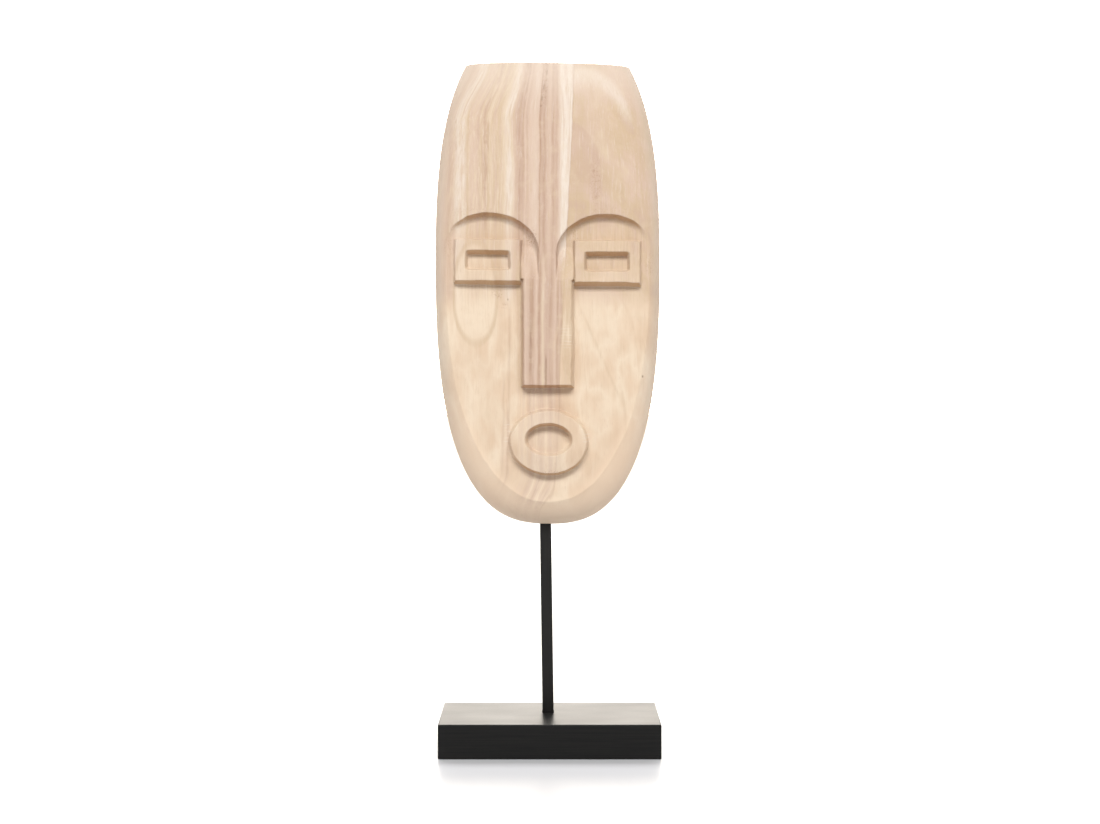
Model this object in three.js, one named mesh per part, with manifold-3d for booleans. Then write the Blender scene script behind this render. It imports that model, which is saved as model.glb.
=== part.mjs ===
// A carved wooden mask that stands on a square rod in a black base.
// Millimetres, +Z up, the face looks along -Y, the origin is at the middle of the base's underside.

import * as THREE from "three";
import { mergeVertices } from "three/addons/utils/BufferGeometryUtils.js";
import Module from "manifold-3d";

const wasm = await Module();
wasm.setup();

// Base block
const BASE_WIDTH = 192;
const BASE_DEPTH = 96;
const BASE_HEIGHT = 30;
const BASE_EDGE = 1;
const BASE_EDGE_STEPS = 2;

// Rod: a square bar that leans a little to the left and stands behind the middle of the base.
// The gap is what it keeps to the wood all round in its two holes.
const ROD_SIDE = 10;
const ROD_EDGE = 0.6;
const ROD_FOOT = new THREE.Vector3(-1.4, 8, BASE_HEIGHT);
const ROD_LEAN = 0.0135;
const ROD_IN_BASE = 18;
const ROD_IN_MASK = 28;
const FIT_GAP = 0.3;

// Mask block: up is measured from the chin's lowest point, forward from the flat back.
// The outline is widest at WIDEST, and its upper half would close at UPPER_REACH above that, but the top is
// sawn off flat, at MASK_HEIGHT in front and higher towards the back by TOP_SLOPE. The slant lowers the right
// side by that much for each millimetre across.
const CHIN_HEIGHT = 197;
const MASK_HEIGHT = 400;
const TOP_SLOPE = 0.09;
const MASK_HALF_WIDTH = 98.6;
const MASK_X = -1.8;
const MASK_BACK_Y = 17;
const MASK_LEAN = THREE.MathUtils.degToRad(2);
const MASK_SLANT = 0.012;
const WIDEST = 230.6;
const UPPER_REACH = 213;
const OUTLINE_POWER = 2.66;
const CROWN_OUTLINE_DROP = 0.66;
const THICKNESS = 52;
const SIDE_THICKNESS = 18;
const CHIN_ROUNDING = 10;
const FLAT_REACH = 0.65;
const CROWN_POWER = 2.4;
const BACK_EDGE = 2;
const OUTLINE_SIDES = 112;
const CROWN_RINGS = 11;

// Sunk cheeks and eye sockets: one flat cut, a little shallower the higher it lies, with a cove along the
// arches, which spring from SOCKET_SPRING
const CHEEK_DEPTH = 39.2;
const CHEEK_RISE = 0.0205;
const COVE_WIDTH = 6.6;
const COVE_HEIGHT = 8.4;
const COVE_STEPS = 5;
const SOCKET_INNER = 14.3;
const SOCKET_OUTER = 88;
const SOCKET_SPRING = 236;
const SOCKET_ARCH = 27.1;
const SOCKET_SIDES = 22;
const CUT_DEPTH = 70;
const CUT_WIDE = 130;

// How far the raised forms reach below and above the cheeks before they are cut to the block
const FORM_BOTTOM = -1;
const FORM_TOP = 14;

// Raised eye blocks and their blind slots, whose walls slope by so much for each millimetre of depth
const EYE_X = 51.5;
const EYE_LEVEL = 229;
const EYE_HALF_WIDTH = 27.8;
const EYE_HALF_HEIGHT = 17.8;
const EYE_SIDE_SLOPE = 0.2;
const EYE_TOP_SLOPE = 0.1;
const EYE_BOTTOM_SLOPE = 0.36;
const SLOT_HALF_WIDTH = 19.8;
const SLOT_HALF_HEIGHT = 8.55;
const SLOT_CORNER = 2.2;
const SLOT_CORNER_STEPS = 3;
const SLOT_DEPTH = 7.6;
const SLOT_SIDE_SLOPE = 0.3;
const SLOT_TOP_SLOPE = 0.42;
const SLOT_BOTTOM_SLOPE = 0.2;

// Nose bar, whose upper end runs out between the eyes in a long slope
const NOSE_HALF_WIDTH = 20.2;
const NOSE_TIP = 121.8;
const NOSE_TOP = 213;
const NOSE_SIDE_SLOPE = 0.3;
const NOSE_TIP_SLOPE = 0.17;
const RUN_OUT_HALF_WIDTH = 22.6;
const RUN_OUT_SLOPE = 3.4;
const RUN_OUT_START = 1;
const RUN_OUT_PROUD = 0.2;

// Raised mouth ring and its blind oval hole
const MOUTH_X = 0.9;
const MOUTH_LEVEL = 73;
const MOUTH_HALF_WIDTH = 32.3;
const MOUTH_HALF_HEIGHT = 26.7;
const MOUTH_SLOPE = 0.2;
const HOLE_LEVEL = 75;
const HOLE_HALF_WIDTH = 20.6;
const HOLE_HALF_HEIGHT = 14.2;
const HOLE_DEPTH = 9.6;
const HOLE_SLOPE = 0.24;
const OVAL_SIDES = 40;

// Points closer than this are one point.
const MERGE_DISTANCE = 1e-4;

// Turns a closed geometry into a solid that can be joined and cut.
function solidOf(geometry) {
  geometry.deleteAttribute("normal");
  geometry.deleteAttribute("uv");
  const merged = mergeVertices(geometry, MERGE_DISTANCE);
  const corners = merged.index.array;
  const kept = [];
  for (let i = 0; i < corners.length; i += 3) {
    const [a, b, c] = [corners[i], corners[i + 1], corners[i + 2]];
    if (a !== b && b !== c && c !== a) kept.push(a, b, c);
  }
  const mesh = new wasm.Mesh({
    numProp: 3,
    vertProperties: new Float32Array(merged.attributes.position.array),
    triVerts: new Uint32Array(kept),
  });
  return new wasm.Manifold(mesh);
}

// Turns a solid back into a geometry.
function geometryOf(solid) {
  const mesh = solid.getMesh();
  const geometry = new THREE.BufferGeometry();
  geometry.setAttribute("position", new THREE.BufferAttribute(mesh.vertProperties, 3));
  geometry.setIndex(new THREE.BufferAttribute(mesh.triVerts, 1));
  geometry.computeVertexNormals();
  return geometry;
}

// A point of the mask's own frame: across, up from the chin and forward from the flat back.
function carved(across, up, forward) {
  return new THREE.Vector3(across, -forward, up);
}

// How far forward the sunk cheeks lie at a height above the chin.
function cheekDepth(up) {
  return CHEEK_DEPTH + CHEEK_RISE * up;
}

// A solid through outlines of the same number of points. Each layer has its outline and how far it lies
// in front of the cheeks. The first layer is the deepest.
function loft(layers) {
  const count = layers[0].outline.length;
  const points = [];
  for (const { outline, height } of layers) {
    for (const point of outline) points.push(carved(point.x, point.y, cheekDepth(point.y) + height));
  }
  const faces = [];
  const last = count * (layers.length - 1);
  for (const [a, b, c] of THREE.ShapeUtils.triangulateShape(layers[0].outline, [])) {
    faces.push(a, c, b);
    faces.push(a + last, b + last, c + last);
  }
  for (let start = 0; start < last; start += count) {
    for (let i = 0; i < count; i++) {
      const next = (i + 1) % count;
      faces.push(start + i, start + next, start + next + count);
      faces.push(start + i, start + next + count, start + i + count);
    }
  }
  const geometry = new THREE.BufferGeometry().setFromPoints(points);
  geometry.setIndex(faces);
  return solidOf(geometry);
}

// A cosine or sine raised to the power that turns an ellipse into a fuller outline.
function fuller(value, power) {
  return Math.sign(value) * Math.abs(value) ** (2 / power);
}

// The block before the face is cut: a flat back, a straight side and a flat front that rolls off to the
// outline, lowest along the chin.
function crownedBlock() {
  const profile = [new THREE.Vector2(0, -1), new THREE.Vector2(1 - BACK_EDGE / MASK_HALF_WIDTH, -1)];
  profile.push(new THREE.Vector2(1, -1 + BACK_EDGE / SIDE_THICKNESS));
  for (let ring = 0; ring <= CROWN_RINGS; ring++) {
    const rise = Math.sin((Math.PI / 2) * (ring / CROWN_RINGS));
    const roll = Math.sqrt(1 - rise ** CROWN_POWER);
    profile.push(new THREE.Vector2(FLAT_REACH + (1 - FLAT_REACH) * roll, rise));
  }
  profile.push(new THREE.Vector2(0, 1));
  const geometry = new THREE.LatheGeometry(profile, OUTLINE_SIDES);
  const position = geometry.attributes.position;
  for (let i = 0; i < position.count; i++) {
    const reach = Math.hypot(position.getX(i), position.getZ(i));
    const angle = Math.atan2(position.getX(i), position.getZ(i));
    const rise = position.getY(i);
    const side = SIDE_THICKNESS - CHIN_ROUNDING * Math.min(0, Math.sin(angle)) ** 2;
    const forward = rise < 0 ? side * (1 + rise) : side + (THICKNESS - side) * rise;
    const power = OUTLINE_POWER - CROWN_OUTLINE_DROP * Math.max(0, rise);
    const across = MASK_HALF_WIDTH * reach * fuller(Math.cos(angle), power);
    const half = Math.sin(angle) > 0 ? UPPER_REACH : WIDEST;
    const up = WIDEST + half * reach * fuller(Math.sin(angle), power);
    const point = carved(across, up, forward);
    position.setXYZ(i, point.x, point.y, point.z);
  }
  const above = new THREE.BoxGeometry(2 * CUT_WIDE, 2 * CUT_WIDE, CUT_WIDE);
  above.translate(0, 0, CUT_WIDE / 2);
  above.rotateX(Math.atan(TOP_SLOPE));
  above.translate(0, -THICKNESS, MASK_HEIGHT);
  return solidOf(geometry).subtract(solidOf(above));
}

// The outline that is sunk into the block: two arches side by side, open below to the cheeks and the chin.
function socketOutline(grow) {
  const inner = SOCKET_INNER - grow;
  const outer = SOCKET_OUTER + grow;
  const middle = (inner + outer) / 2;
  const halfWidth = (outer - inner) / 2;
  const shoulder = SOCKET_SPRING - (CUT_WIDE - outer);
  const outline = [new THREE.Vector2(-CUT_WIDE, -CUT_WIDE), new THREE.Vector2(CUT_WIDE, -CUT_WIDE)];
  outline.push(new THREE.Vector2(CUT_WIDE, shoulder));
  for (const side of [1, -1]) {
    for (let i = 0; i <= SOCKET_SIDES; i++) {
      const angle = (Math.PI * i) / SOCKET_SIDES;
      const across = side * middle + halfWidth * Math.cos(angle);
      outline.push(new THREE.Vector2(across, SOCKET_SPRING + (SOCKET_ARCH + grow) * Math.sin(angle)));
    }
    if (side === 1) {
      outline.push(new THREE.Vector2(inner, NOSE_TIP));
      outline.push(new THREE.Vector2(-inner, NOSE_TIP));
    }
  }
  outline.push(new THREE.Vector2(-CUT_WIDE, shoulder));
  return outline;
}

// The sunk field with its cove: the floor, then the cove's curve, then straight out of the block.
function sunkField() {
  const layers = [];
  for (let i = 0; i <= COVE_STEPS; i++) {
    const turn = ((Math.PI / 2) * i) / COVE_STEPS;
    const height = COVE_HEIGHT * (1 - Math.cos(turn));
    layers.push({ outline: socketOutline(COVE_WIDTH * Math.sin(turn)), height });
  }
  layers.push({ outline: socketOutline(COVE_WIDTH), height: CUT_DEPTH });
  return loft(layers);
}

// A rectangle's outline, with its own reach to the sides, down and up.
function boxOutline(x, level, halfWidth, down, up) {
  return [
    new THREE.Vector2(x - halfWidth, level - down),
    new THREE.Vector2(x + halfWidth, level - down),
    new THREE.Vector2(x + halfWidth, level + up),
    new THREE.Vector2(x - halfWidth, level + up),
  ];
}

// An oval's outline.
function ovalOutline(x, level, halfWidth, halfHeight) {
  const outline = [];
  for (let i = 0; i < OVAL_SIDES; i++) {
    const angle = (2 * Math.PI * i) / OVAL_SIDES;
    outline.push(new THREE.Vector2(x + halfWidth * Math.cos(angle), level + halfHeight * Math.sin(angle)));
  }
  return outline;
}

// A slot's outline: a rectangle with round corners, narrower the deeper it lies.
function slotOutline(x, deeper) {
  const halfWidth = SLOT_HALF_WIDTH - SLOT_SIDE_SLOPE * deeper - SLOT_CORNER;
  const top = EYE_LEVEL + SLOT_HALF_HEIGHT - SLOT_TOP_SLOPE * deeper - SLOT_CORNER;
  const bottom = EYE_LEVEL - SLOT_HALF_HEIGHT + SLOT_BOTTOM_SLOPE * deeper + SLOT_CORNER;
  const outline = [];
  for (let quarter = 0; quarter < 4; quarter++) {
    const cornerX = quarter === 0 || quarter === 3 ? x + halfWidth : x - halfWidth;
    const cornerY = quarter < 2 ? top : bottom;
    for (let i = 0; i <= SLOT_CORNER_STEPS; i++) {
      const angle = (Math.PI / 2) * (quarter + i / SLOT_CORNER_STEPS);
      const across = cornerX + SLOT_CORNER * Math.cos(angle);
      outline.push(new THREE.Vector2(across, cornerY + SLOT_CORNER * Math.sin(angle)));
    }
  }
  return outline;
}

// How far the block's flat front lies in front of the cheeks at a height above the chin.
function relief(up) {
  return THICKNESS - cheekDepth(up);
}

// An eye block's layer, which spreads from its face to its foot.
function eyeOutline(x, height) {
  const spread = relief(EYE_LEVEL) - height;
  const halfWidth = EYE_HALF_WIDTH + EYE_SIDE_SLOPE * spread;
  const down = EYE_HALF_HEIGHT + EYE_BOTTOM_SLOPE * spread;
  return boxOutline(x, EYE_LEVEL, halfWidth, down, EYE_HALF_HEIGHT + EYE_TOP_SLOPE * spread);
}

// The nose bar's layer.
function noseOutline(height) {
  const spread = relief(NOSE_TIP) - height;
  const halfWidth = NOSE_HALF_WIDTH + NOSE_SIDE_SLOPE * spread;
  return boxOutline(0, NOSE_TIP, halfWidth, NOSE_TIP_SLOPE * spread, NOSE_TOP - NOSE_TIP);
}

// The layer of the run-out, the long slope from the nose bar's upper end to the floor between the eyes.
function runOutOutline(height) {
  const up = RUN_OUT_SLOPE * (relief(NOSE_TOP) - height);
  return boxOutline(0, NOSE_TOP, RUN_OUT_HALF_WIDTH, RUN_OUT_START, up);
}

// The mouth ring's layer.
function mouthOutline(height) {
  const spread = MOUTH_SLOPE * (relief(MOUTH_LEVEL) - height);
  return ovalOutline(MOUTH_X, MOUTH_LEVEL, MOUTH_HALF_WIDTH + spread, MOUTH_HALF_HEIGHT + spread);
}

// The mouth hole's layer.
function holeOutline(height) {
  const shrink = HOLE_SLOPE * (relief(HOLE_LEVEL) - height);
  return ovalOutline(MOUTH_X, HOLE_LEVEL, HOLE_HALF_WIDTH - shrink, HOLE_HALF_HEIGHT - shrink);
}

// A form that narrows or widens evenly between two heights in front of the cheeks.
function form(outlineAt, bottom, top = FORM_TOP) {
  return loft([
    { outline: outlineAt(bottom), height: bottom },
    { outline: outlineAt(top), height: top },
  ]);
}

// The block with its cheeks and sockets sunk round the eyes, nose and mouth, and with its blind holes.
function carvedBlock() {
  let cut = sunkField();
  for (const x of [-EYE_X, EYE_X]) cut = cut.subtract(form((height) => eyeOutline(x, height), FORM_BOTTOM));
  for (const outlineAt of [noseOutline, mouthOutline]) cut = cut.subtract(form(outlineAt, FORM_BOTTOM));
  cut = cut.subtract(form(runOutOutline, FORM_BOTTOM, relief(NOSE_TOP) + RUN_OUT_PROUD));
  let block = crownedBlock().subtract(cut);
  for (const x of [-EYE_X, EYE_X]) {
    const slot = (height) => slotOutline(x, relief(EYE_LEVEL) - height);
    block = block.subtract(form(slot, relief(EYE_LEVEL) - SLOT_DEPTH));
  }
  return block.subtract(form(holeOutline, relief(HOLE_LEVEL) - HOLE_DEPTH));
}

// The mask's place: its slant across the grain, its lean and its height on the rod.
function maskPlace() {
  const place = new THREE.Matrix4().makeTranslation(MASK_X, MASK_BACK_Y, CHIN_HEIGHT);
  place.multiply(new THREE.Matrix4().makeRotationX(-MASK_LEAN));
  return place.multiply(new THREE.Matrix4().makeShear(0, -MASK_SLANT, 0, 0, 0, 0));
}

// A square bar with soft edges, upright, that reaches below and above its foot.
function bar(side, below, above) {
  const half = side / 2;
  const near = half - ROD_EDGE;
  const shape = new THREE.Shape([
    new THREE.Vector2(-near, -half),
    new THREE.Vector2(near, -half),
    new THREE.Vector2(half, -near),
    new THREE.Vector2(half, near),
    new THREE.Vector2(near, half),
    new THREE.Vector2(-near, half),
    new THREE.Vector2(-half, near),
    new THREE.Vector2(-half, -near),
  ]);
  const geometry = new THREE.ExtrudeGeometry(shape, { depth: below + above, bevelEnabled: false });
  return geometry.translate(0, 0, -below);
}

// Stands an object on the rod's foot, along the rod's lean.
function standOnFoot(object) {
  object.position.copy(ROD_FOOT);
  object.rotation.y = -Math.atan(ROD_LEAN);
  object.updateMatrix();
  return object;
}

// The space for the rod in the base and the mask, a little wider and longer than the rod.
function rodSpace() {
  const line = standOnFoot(new THREE.Object3D());
  const above = CHIN_HEIGHT - BASE_HEIGHT + ROD_IN_MASK + FIT_GAP;
  const space = bar(ROD_SIDE + 2 * FIT_GAP, ROD_IN_BASE + FIT_GAP, above);
  return solidOf(space.applyMatrix4(line.matrix));
}

function makeMask() {
  const placed = geometryOf(carvedBlock()).applyMatrix4(maskPlace());
  const geometry = geometryOf(solidOf(placed).subtract(rodSpace()));
  const wood = new THREE.MeshStandardMaterial({ color: "#e2c5a4", roughness: 0.75, metalness: 0 });
  const mask = new THREE.Mesh(geometry, wood);
  mask.name = "mask";
  return mask;
}

function makeRod() {
  const geometry = bar(ROD_SIDE, ROD_IN_BASE, CHIN_HEIGHT - BASE_HEIGHT + ROD_IN_MASK);
  const paint = new THREE.MeshStandardMaterial({ color: "#232221", roughness: 0.45, metalness: 0.2 });
  const rod = new THREE.Mesh(geometry, paint);
  rod.name = "rod";
  return standOnFoot(rod);
}

function makeBase() {
  const halfWidth = BASE_WIDTH / 2 - BASE_EDGE;
  const halfDepth = BASE_DEPTH / 2 - BASE_EDGE;
  const shape = new THREE.Shape(boxOutline(0, 0, halfWidth, halfDepth, halfDepth));
  const block = new THREE.ExtrudeGeometry(shape, {
    depth: BASE_HEIGHT - 2 * BASE_EDGE,
    bevelThickness: BASE_EDGE,
    bevelSize: BASE_EDGE,
    bevelSegments: BASE_EDGE_STEPS,
  });
  block.translate(0, 0, BASE_EDGE);
  const geometry = geometryOf(solidOf(block).subtract(rodSpace()));
  const lacquer = new THREE.MeshStandardMaterial({ color: "#202121", roughness: 0.35, metalness: 0 });
  const base = new THREE.Mesh(geometry, lacquer);
  base.name = "base";
  return base;
}

const part = new THREE.Group();
part.add(makeMask(), makeRod(), makeBase());

export default part;
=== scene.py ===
"""Looks of the carved wooden mask that stands on a square rod in a black base."""
import math

import bmesh
import bpy
import numpy as np
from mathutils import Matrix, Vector, noise
from mathutils.geometry import delaunay_2d_cdt
from mathutils.kdtree import KDTree


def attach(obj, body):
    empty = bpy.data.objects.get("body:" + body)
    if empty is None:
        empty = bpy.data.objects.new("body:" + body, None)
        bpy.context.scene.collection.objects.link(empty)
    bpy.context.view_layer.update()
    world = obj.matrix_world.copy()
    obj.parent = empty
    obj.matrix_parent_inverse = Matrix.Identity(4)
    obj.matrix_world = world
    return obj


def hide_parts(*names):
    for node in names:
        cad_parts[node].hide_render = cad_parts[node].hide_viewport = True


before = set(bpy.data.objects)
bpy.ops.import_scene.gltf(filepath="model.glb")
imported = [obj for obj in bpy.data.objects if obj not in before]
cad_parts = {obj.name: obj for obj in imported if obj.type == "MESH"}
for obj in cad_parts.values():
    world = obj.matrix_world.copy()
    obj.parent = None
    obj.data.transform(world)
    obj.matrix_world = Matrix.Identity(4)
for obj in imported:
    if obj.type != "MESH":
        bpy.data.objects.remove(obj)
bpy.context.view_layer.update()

MM = 0.001

# The photograph's frame and the camera that it was taken with
FRAME_WIDTH = 1100
FOCAL_PIXELS = 1755
SENSOR_WIDTH = 36
CAMERA_PLACE = Vector((0.0003, -1.541, 0.3505))
CAMERA_PITCH = math.radians(-2.007)

# The mask's own frame, in millimetres: across, up from the chin and forward from the flat back.
# Its place in the frame is set by the node's box and by the lean and slant that the node has.
MASK_X = -1.8
MASK_BACK_Y = 17
MASK_CHIN_Z = 197
MASK_LEAN = math.radians(2)
MASK_SLANT = 0.012

# The block that the face is carved from
MASK_HEIGHT = 400
TOP_SLOPE = 0.09
HALF_WIDTH = 98.6
WIDEST = 230.6
UPPER_REACH = 213
OUTLINE_POWER = 2.66
CROWN_OUTLINE_DROP = 0.66
THICKNESS = 52
SIDE_THICKNESS = 18
CHIN_ROUNDING = 10
FLAT_REACH = 0.65
CROWN_POWER = 2.4
BACK_ROUND = 2.2
TOP_ROUND = 1.1

# The cheeks' flat cut and the sockets' cove
CHEEK_DEPTH = 39.2
CHEEK_RISE = 0.0205
COVE_WIDTH = 6.6
COVE_HEIGHT = 8.4
COVE_REACH = 1.5 * COVE_WIDTH
SOCKET_INNER = 14.3
SOCKET_OUTER = 88
SOCKET_SPRING = 236
SOCKET_ARCH = 27.1
SOCKET_MIDDLE = (SOCKET_INNER + SOCKET_OUTER) / 2
SOCKET_HALF_WIDTH = (SOCKET_OUTER - SOCKET_INNER) / 2

# How far the raised forms would stand proud of the block's front before they are cut to it
FORM_PROUD = 2

# Eye blocks and slots. Slopes are how far a wall spreads for each millimetre of depth: at the sides, at the
# top and at the bottom
EYE_X = 51.5
EYE_LEVEL = 229
EYE_HALF_WIDTH = 27.8
EYE_HALF_HEIGHT = 17.8
EYE_SLOPES = (0.2, 0.1, 0.36)
EYE_FACE = 51.2
SLOT_HALF_WIDTH = 19.8
SLOT_HALF_HEIGHT = 8.55
SLOT_CORNER = 2.2
SLOT_DEPTH = 7.6
SLOT_SLOPES = (0.3, 0.42, 0.2)

# Nose bar and its run-out
NOSE_HALF_WIDTH = 20.2
NOSE_TIP = 121.8
NOSE_TOP = 213
NOSE_SLOPES = (0.3, 0.001, 0.17)
RUN_OUT_HALF_WIDTH = 22.6
RUN_OUT_SLOPES = (0.02, 3.4, 0.02)

# Mouth ring and hole
MOUTH_X = 0.9
MOUTH_LEVEL = 73
MOUTH_HALF_WIDTH = 32.3
MOUTH_HALF_HEIGHT = 26.7
MOUTH_SLOPE = 0.2
HOLE_LEVEL = 75
HOLE_HALF_WIDTH = 20.6
HOLE_HALF_HEIGHT = 14.2
HOLE_DEPTH = 9.6
HOLE_SLOPE = 0.24

# Fineness of the carved surface's mesh
RIM_POINTS = 820
SPLIT_RISE = 0.5
RIM_ROWS = 12
SIDE_ROWS = 8
BACK_ROWS = 4
FACE_STEP = 1.35
BACK_STEP = 6
BACK_GRID_REACH = 0.96
LINE_STEP = 0.8
CREASE_STEP = 1.04
LINE_GAP = 0.24
SPLIT_MARGIN = 0.992
MERGE_DISTANCE = 1e-5
TINY = 1e-6
CROWN_TURNS = 14
HALVINGS = 22
OVAL_POINTS = 200
OUTLINE_POINTS = 20001
SLOT_CORNER_STEPS = 6
TOP_MARGIN = 3
ARCH_OVERLAP = 1

# The crease between the flat cheeks and the rim: how far its ends reach, in radians and above the sockets'
# spring, its number of points, and the rise that it is searched from, in so many turns
CREASE_OVERLAP = 0.25
CREASE_PAST = 8
CREASE_POINTS = 900
CREASE_RISE = 0.7
CREASE_TURNS = 12

# How far beside a carved edge, a foot, the run-out and the cove the mesh's lines run. Each slot row is a
# depth and a distance, and each top row a height within the sawn edge's rounding, as a share of it.
EDGE_OFFSETS = (-0.9, -0.35, 0)
FOOT_OFFSETS = (0, 0.35, 0.9)
RUN_OUT_OFFSETS = (-0.6, -0.2, 0.2, 0.6)
COVE_OFFSETS = (-0.8, 0, 1.6, 3, 4.2, 5.1, 5.8, 6.3, 6.6, 6.95, 7.5)
SLOT_ROWS = (
    (0, 0.9), (0, 0.35), (0, 0), (2.4, 0), (5, 0), (SLOT_DEPTH, 0), (SLOT_DEPTH, -0.4), (SLOT_DEPTH, -0.9),
)
TOP_ROWS = (1, 0.97, 0.85, 0.65, 0.4, 0.15, 0)

# The front is averaged over rings of samples round each point: how wide they are, and each ring's share of
# that and its number of samples
SOFTENING = 0.45
SOFT_RINGS = ((0.5, 6), (1, 9))

# How unsteadily the front is cut: each wave's length, its reach along the surface and into it, and how far
# out towards the outline they go. The seed gives the same waves in every run.
HAND_WAVES = ((34, 0.4, 0.35), (9, 0.4, 0.14), (3.4, 0.16, 0.045))
HAND_REACH = 0.95
HAND_FADE = 0.08
HAND_SEED = 5

# Rod and base
BASE_SIZE = (192, 96, 30)
BASE_EDGE = 1
FLAT_ENOUGH = 0.999
ROD_SIDE = 10
ROD_EDGE = 0.6
ROD_FOOT = (-1.4, 8, 30)
ROD_LEAN = 0.0135
ROD_IN_BASE = 18
ROD_IN_MASK = 28
FIT_GAP = 0.3
ROD_ROWS = 30
CORNER_STEPS = 4
SMOOTH_ANGLE = math.radians(35)

# The wood grain: how far it wanders slowly and quickly, and how softly its streaks end
WAVE = 5
WOBBLE = 1.8
RIPPLE = 0.7
RAMP_START = 0.37
RAMP_END = 0.63
STREAK_BLUR = 1.9
STREAK_FADE = 0.3

# The stage: a floor and a studio that is dim and warm in front, with a bright backdrop and bright sides.
# The backdrop and the sides: the direction's share along that axis where their glow starts and where it is
# full, its strength and its colour
FLOOR_REACH = 8
FLOOR_COLOUR = (0.58, 0.595, 0.625)
FLOOR_ROUGHNESS = 0.4
FLOOR_SHINE = 0.6
FRONT = (0.17, 0.10, 0.045)
BACKDROP = ("Y", 0.8, 0.96, 5.4, (1, 0.945, 0.86))
SIDES = ("X", 0.65, 1.0, 1.6, (1, 0.98, 0.95))

# Lights: name, place, target, size, power, colour
LIGHTS = (
    ("key", (0.05, -3.15, 3.1), (0, 0, 0.4), (3, 1), 213, (0.955, 0.99, 1)),
    ("back", (0, 1.6, 2.2), (0, 1.3, 0), (3.5, 1.5), 80, (1, 1, 1)),
)

# Black finishes: colours from dark to pale, dust, roughness, shine, and depth of the bump in metres
LACQUER_TONES = ((0.0092, 0.0093, 0.0095), (0.0122, 0.0119, 0.0116))
LACQUER_DUST = (0.02, 0.019, 0.018)
LACQUER_ROUGHNESS = (0.3, 0.42)
LACQUER_SHINE = 0.1
LACQUER_BUMP = 0.00003
PAINT_TONES = ((0.005, 0.0049, 0.0047), (0.010, 0.0095, 0.0088))
PAINT_ROUGHNESS = (0.36, 0.5)
PAINT_SHINE = 0.3
PAINT_BUMP = 0.00004

# The wood's finish and pigments
WOOD_ROUGHNESS = (0.55, 0.75)
WOOD_SHINE = 0.3
WOOD_BUMP = 0.0001
IVORY = (0.645, 0.565, 0.49)
CREAM = (0.58, 0.465, 0.34)
ROSE = (0.535, 0.4, 0.315)
HONEY = (0.495, 0.37, 0.25)
CLAY = (0.465, 0.33, 0.255)
# The low pigments are paler than the upper ones partly as painted light, making up for the key light that is
# weaker low on the face
LOW_CREAM = (0.66, 0.545, 0.42)
LOW_PEACH = (0.605, 0.465, 0.34)
LOW_HONEY = (0.55, 0.405, 0.285)
IVORY_ROSE = (0.575, 0.455, 0.37)
BROWN_CLAY = (0.41, 0.275, 0.205)
BROWN = (0.36, 0.225, 0.155)
DARK = (0.20, 0.115, 0.07)
# Painted light: a pale grey tone on the rim where it faces sideways
RIM_SIDE_PAINTED_LIGHT = (0.6, 0.545, 0.475)
# Painted light: the paler tone of the lower rim and chin
LOWER_RIM_PAINTED_LIGHT = (0.72, 0.565, 0.425)
# Painted shade: the darker, warmer colour that the carved walls facing down are multiplied by
UNDERSIDE_PAINTED_SHADE = (0.88, 0.73, 0.58)

# Where the glued boards meet, across, at the top and at the chin, in millimetres
LEFT_JOINT = (-29, -27)
RIGHT_JOINT = (21.4, 3.2)
JOINT_TOP = 595
JOINT_LOW = 200

# The grain leans over near the top of the left half: how far, from what height to what height, and between
# which places across it grows
LEAN_OVER = 22
LEAN_HEIGHTS = (548, 606)
LEAN_SPREAD = (14, -66)

# Below the mouth it leans the other way
CHIN_LEAN = 13
CHIN_HEIGHTS = (246, 206)
CHIN_SPREAD = (8, -8)

# The heights between which the low boards' tones, paler partly as painted light, turn to the upper ones, the
# mouth's to the nose's and the nose's to the forehead's, between which the forehead's top is painted paler as
# painted light, and between which the painted light on the rim grows
LOW_TO_HIGH = (385, 405)
MOUTH_TO_NOSE = (312, 322)
NOSE_TO_BROW = (410, 445)
FOREHEAD_PAINTED_LIGHT_HEIGHTS = (550, 600)
PAINTED_RIM_LIGHT_HEIGHTS = (340, 240)

# The height of the outline's middle, and the shares of the outline between which the rim starts
OUTLINE_MIDDLE = 427
RIM_SHARES = (0.86, 0.96)

# The tones across each board, as places in millimetres, each with its pigment: the forehead's two, the
# nose's and the mouth's
LEFT_TONES = (
    -100, ROSE, -90, ROSE, -87, CLAY, -84, ROSE, -80, IVORY, -74, IVORY, -70.5, HONEY, -69, ROSE, -64, ROSE,
    -61, CLAY, -59, HONEY, -56, BROWN_CLAY, -53, HONEY, -51, CREAM, -49, HONEY, -46.5, CLAY, -45, HONEY,
    -42, HONEY, -39.5, CREAM, -36.5, IVORY, -32.5, IVORY, -30.5, ROSE, -28, CLAY,
)
MIDDLE_TONES = (
    -28, CLAY, -26, BROWN_CLAY, -24.5, CLAY, -22.7, BROWN_CLAY, -21, ROSE, -19.2, CLAY, -17.5, ROSE,
    -12, IVORY_ROSE, -9.6, ROSE, -8.6, BROWN, -7.4, CLAY, -4.8, BROWN_CLAY, -3, CLAY, 0.2, ROSE,
    2.6, BROWN_CLAY, 4, CLAY, 6.3, CLAY, 8.5, IVORY_ROSE, 10.5, IVORY, 12.8, IVORY, 20, IVORY,
)
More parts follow.
